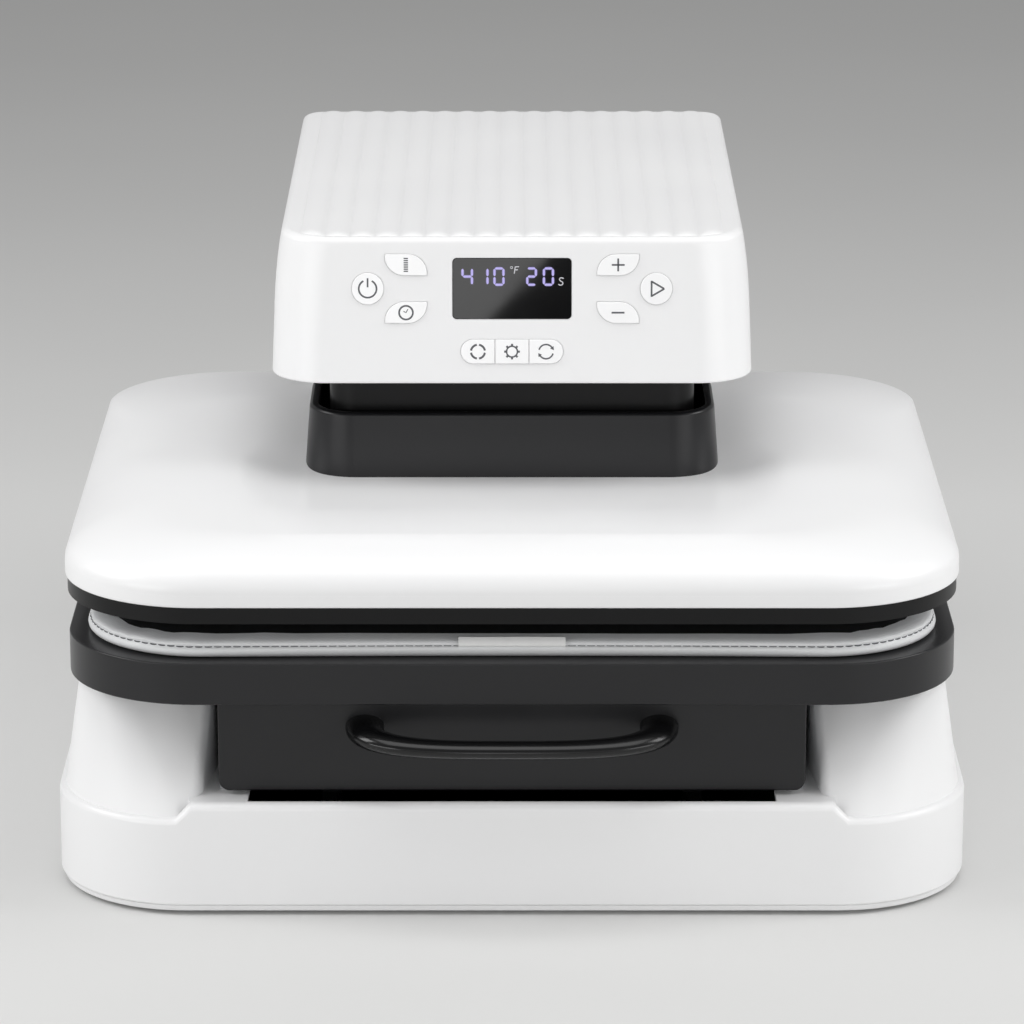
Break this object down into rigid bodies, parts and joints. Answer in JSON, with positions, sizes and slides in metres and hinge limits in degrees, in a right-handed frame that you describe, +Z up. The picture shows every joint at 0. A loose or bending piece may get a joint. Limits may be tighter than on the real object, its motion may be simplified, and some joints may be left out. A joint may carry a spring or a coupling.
{
  "type": "flat heat press",
  "caption": "Flat heat press with a motor-lifted heated platen under an overhanging control head and a pull-out lower tray with a soft press mat",
  "frame": {"origin": "Centre of the footprint, on the floor, under the rubber feet; the footprint is taken from the front of the drawer handle to the back of the inlet.", "axes": "+X is to the right as seen by the user, +Y is towards the back, +Z is up."},
  "size_m": [0.409, 0.4688, 0.2762],
  "materials": {
    "white_shell": "satin moulded ABS",
    "white_buttons": "smooth moulded key caps",
    "charcoal_plastic": "fine-grained moulded nylon",
    "black_gloss": "glossy moulded plastic",
    "display_glass": "dark polished window",
    "black_module": "plain moulded housing",
    "circuit_board": "green solder mask",
    "mat_cloth": "silver-grey aramid cloth over felt",
    "foot_rubber": "matte rubber",
    "plate_aluminium": "machined aluminium",
    "frame_steel": "grey primer on steel plate",
    "zinc_steel": "bright zinc on rolled steel",
    "bearing_steel": "ground and polished steel",
    "bronze": "turned bronze",
    "gear_cast": "die-cast aluminium",
    "element_nickel": "oxidised nickel alloy",
    "ceramic_beige": "pressed mineral board and steatite"
  },
  "bodies": {
    "machine_frame": {"base_housing": "white_shell", "column_cover": "white_shell", "rear_cover": "white_shell", "head_housing": "white_shell", "head_floor": "white_shell", "base_pan": "white_shell", "neck_sleeve": "charcoal_plastic", "power_inlet": "black_gloss", "display_lens": "display_glass", "display_module": "black_module", "tact_switches": "black_module", "control_board": "circuit_board", "power_board": "circuit_board", "rubber_feet": "foot_rubber", "c_frame_left": "frame_steel", "c_frame_right": "frame_steel", "deck_beams": "frame_steel", "crosshead_plate": "frame_steel", "outer_rails": "zinc_steel", "pan_screws": "zinc_steel", "rear_screws": "zinc_steel", "floor_screws": "zinc_steel", "board_screws": "zinc_steel", "drive_motor": "zinc_steel", "screw_bearing": "bearing_steel", "guide_bushes": "bronze", "gearbox_housing": "gear_cast"},
    "upper_platen": {"platen_cover": "white_shell", "platen_rim": "charcoal_plastic", "heat_plate": "plate_aluminium", "heating_element": "element_nickel", "thermal_cutout": "ceramic_beige", "insulation_board": "ceramic_beige", "backing_plate": "frame_steel", "platen_screws": "zinc_steel", "collar": "charcoal_plastic", "lift_bridge": "plate_aluminium", "lead_nut": "bronze", "guide_rods": "bearing_steel"},
    "lift_screw": {"lead_screw": "bearing_steel"},
    "press_drawer": {"drawer_box": "charcoal_plastic", "drawer_handle": "black_gloss", "drawer_tray": "charcoal_plastic", "press_mat": "mat_cloth", "mat_tab": "mat_cloth", "inner_rails": "zinc_steel"},
    "slide_middles": {"middle_rails": "zinc_steel"},
    "power_button_cap": {"power_button": "white_buttons"},
    "start_button_cap": {"start_button": "white_buttons"},
    "temperature_button_cap": {"temperature_button": "white_buttons"},
    "timer_button_cap": {"timer_button": "white_buttons"},
    "plus_button_cap": {"plus_button": "white_buttons"},
    "minus_button_cap": {"minus_button": "white_buttons"},
    "mode_key_left_cap": {"mode_key_left": "white_buttons"},
    "mode_key_middle_cap": {"mode_key_middle": "white_buttons"},
    "mode_key_right_cap": {"mode_key_right": "white_buttons"}
  },
  "joints": [
    {"name": "platen_slide", "type": "slide", "parent": "machine_frame", "child": "upper_platen", "axis": [0, 0, 1], "range_m": [-0.0065, 0.012]},
    {"name": "screw_turn", "type": "hinge", "parent": "machine_frame", "child": "lift_screw", "pos_m": [0, -0.01663, 0], "axis": [0, 0, 1], "range_deg": [-600, 1100]},
    {"name": "drawer_slide", "type": "slide", "parent": "machine_frame", "child": "press_drawer", "axis": [0, -1, 0], "range_m": [0, 0.28]},
    {"name": "middle_slide", "type": "slide", "parent": "machine_frame", "child": "slide_middles", "axis": [0, -1, 0], "range_m": [0, 0.14]},
    {"name": "power_button_press", "type": "slide", "parent": "machine_frame", "child": "power_button_cap", "axis": [0, 0.9949, -0.1011], "range_m": [0, 0.0007], "stiffness_N_per_m": 400, "springref_m": -0.0005},
    {"name": "start_button_press", "type": "slide", "parent": "machine_frame", "child": "start_button_cap", "axis": [0, 0.9949, -0.1011], "range_m": [0, 0.0007], "stiffness_N_per_m": 400, "springref_m": -0.0005},
    {"name": "temperature_button_press", "type": "slide", "parent": "machine_frame", "child": "temperature_button_cap", "axis": [0, 0.9949, -0.1011], "range_m": [0, 0.0007], "stiffness_N_per_m": 400, "springref_m": -0.0005},
    {"name": "timer_button_press", "type": "slide", "parent": "machine_frame", "child": "timer_button_cap", "axis": [0, 0.9949, -0.1011], "range_m": [0, 0.0007], "stiffness_N_per_m": 400, "springref_m": -0.0005},
    {"name": "plus_button_press", "type": "slide", "parent": "machine_frame", "child": "plus_button_cap", "axis": [0, 0.9949, -0.1011], "range_m": [0, 0.0007], "stiffness_N_per_m": 400, "springref_m": -0.0005},
    {"name": "minus_button_press", "type": "slide", "parent": "machine_frame", "child": "minus_button_cap", "axis": [0, 0.9949, -0.1011], "range_m": [0, 0.0007], "stiffness_N_per_m": 400, "springref_m": -0.0005},
    {"name": "mode_key_left_press", "type": "slide", "parent": "machine_frame", "child": "mode_key_left_cap", "axis": [0, 0.9949, -0.1011], "range_m": [0, 0.0007], "stiffness_N_per_m": 400, "springref_m": -0.0005},
    {"name": "mode_key_middle_press", "type": "slide", "parent": "machine_frame", "child": "mode_key_middle_cap", "axis": [0, 0.9949, -0.1011], "range_m": [0, 0.0007], "stiffness_N_per_m": 400, "springref_m": -0.0005},
    {"name": "mode_key_right_press", "type": "slide", "parent": "machine_frame", "child": "mode_key_right_cap", "axis": [0, 0.9949, -0.1011], "range_m": [0, 0.0007], "stiffness_N_per_m": 400, "springref_m": -0.0005}
  ],
  "couplings": [
    {"joint": "screw_turn", "follows": "platen_slide", "rad_per_m": 1570.8},
    {"joint": "middle_slide", "follows": "drawer_slide", "ratio": 0.5}
  ]
}
